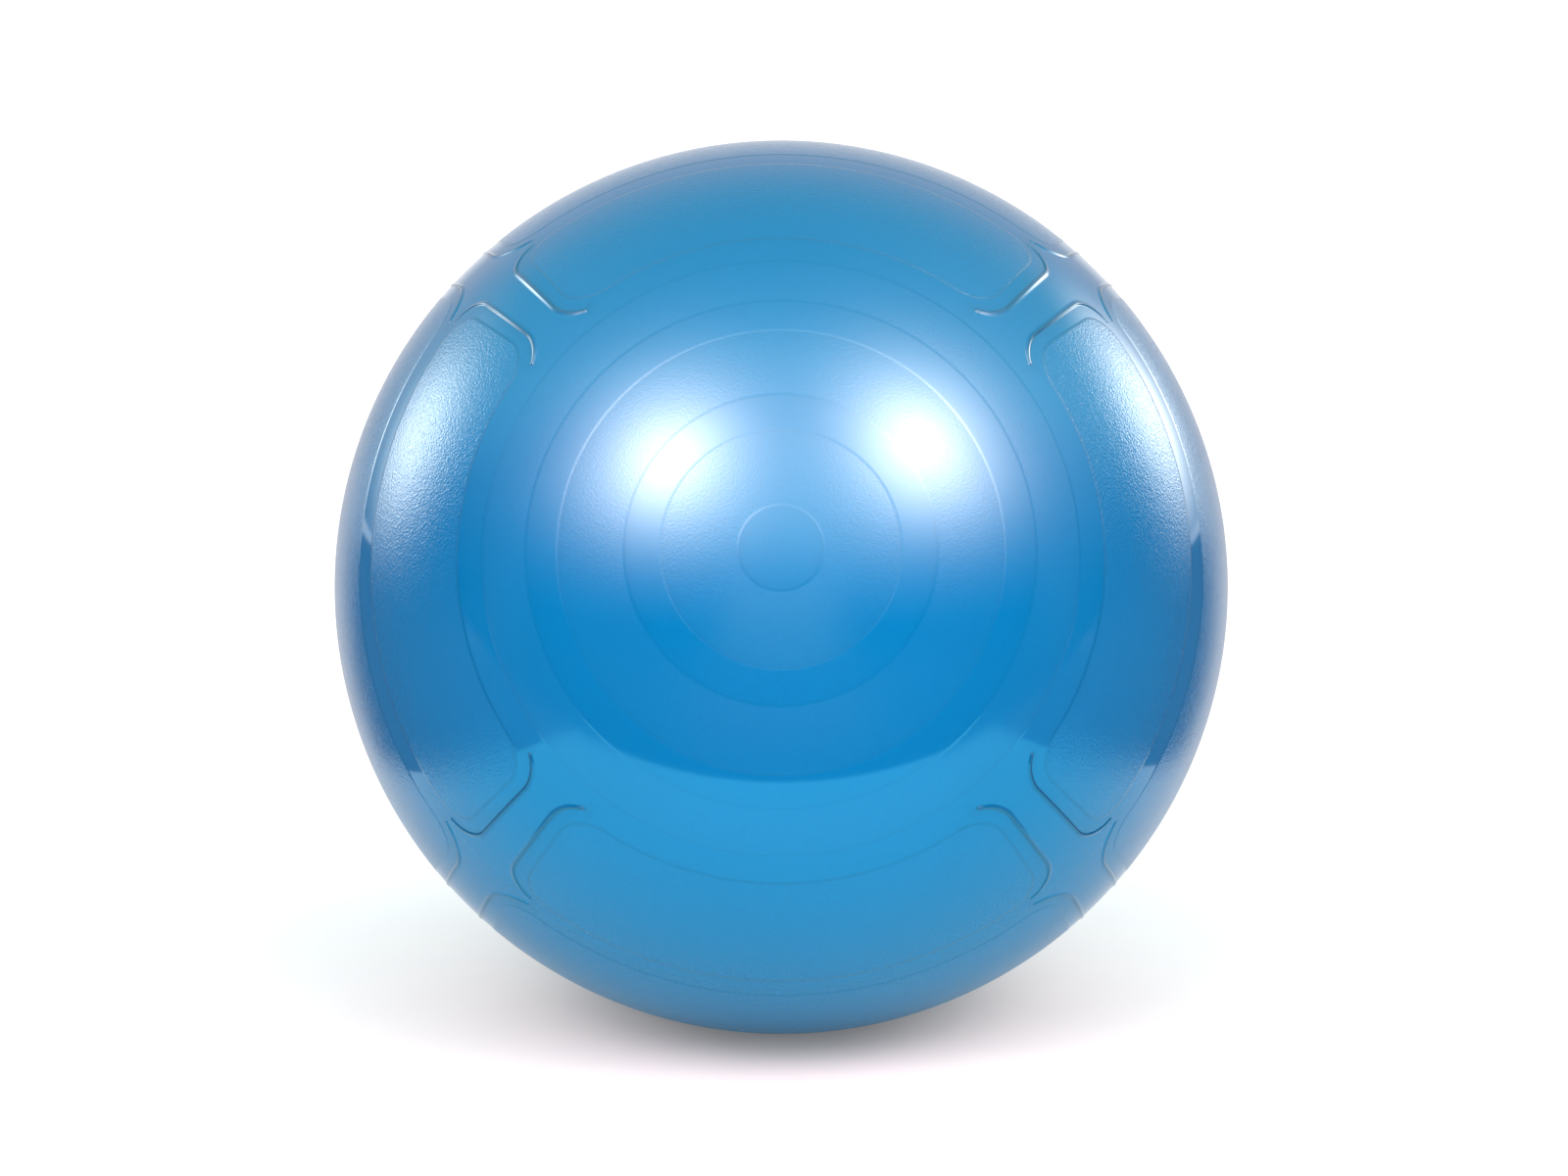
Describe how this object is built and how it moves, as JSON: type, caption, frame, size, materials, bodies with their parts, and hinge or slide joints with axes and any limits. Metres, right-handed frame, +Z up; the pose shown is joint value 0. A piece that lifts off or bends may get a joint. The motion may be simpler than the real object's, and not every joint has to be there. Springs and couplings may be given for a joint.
{
  "type": "exercise ball",
  "caption": "Inflated exercise ball with moulded panels, ridges and rings in its skin, a bonded valve seat and a push-in valve plug that pulls out.",
  "frame": {"origin": "middle of the flat contact patch, straight below the ball's centre", "axes": "+Z up, out of the floor; the front pole of the moulded pattern looks along -Y and 13.5 degrees up, and the valve is at the rear pole"},
  "size_m": [0.6504, 0.651, 0.6487],
  "materials": {
    "pearl_vinyl": "gloss",
    "seat_vinyl": "satin",
    "plug_plastic": "satin"
  },
  "bodies": {
    "ball": {"ball_shell": "pearl_vinyl", "valve_seat": "seat_vinyl"},
    "plug": {"valve_plug": "plug_plastic"}
  },
  "joints": [
    {"name": "plug_pull", "type": "slide", "parent": "ball", "child": "plug", "axis": [0, 0.9724, -0.2334], "range_m": [0, 0.03]}
  ]
}
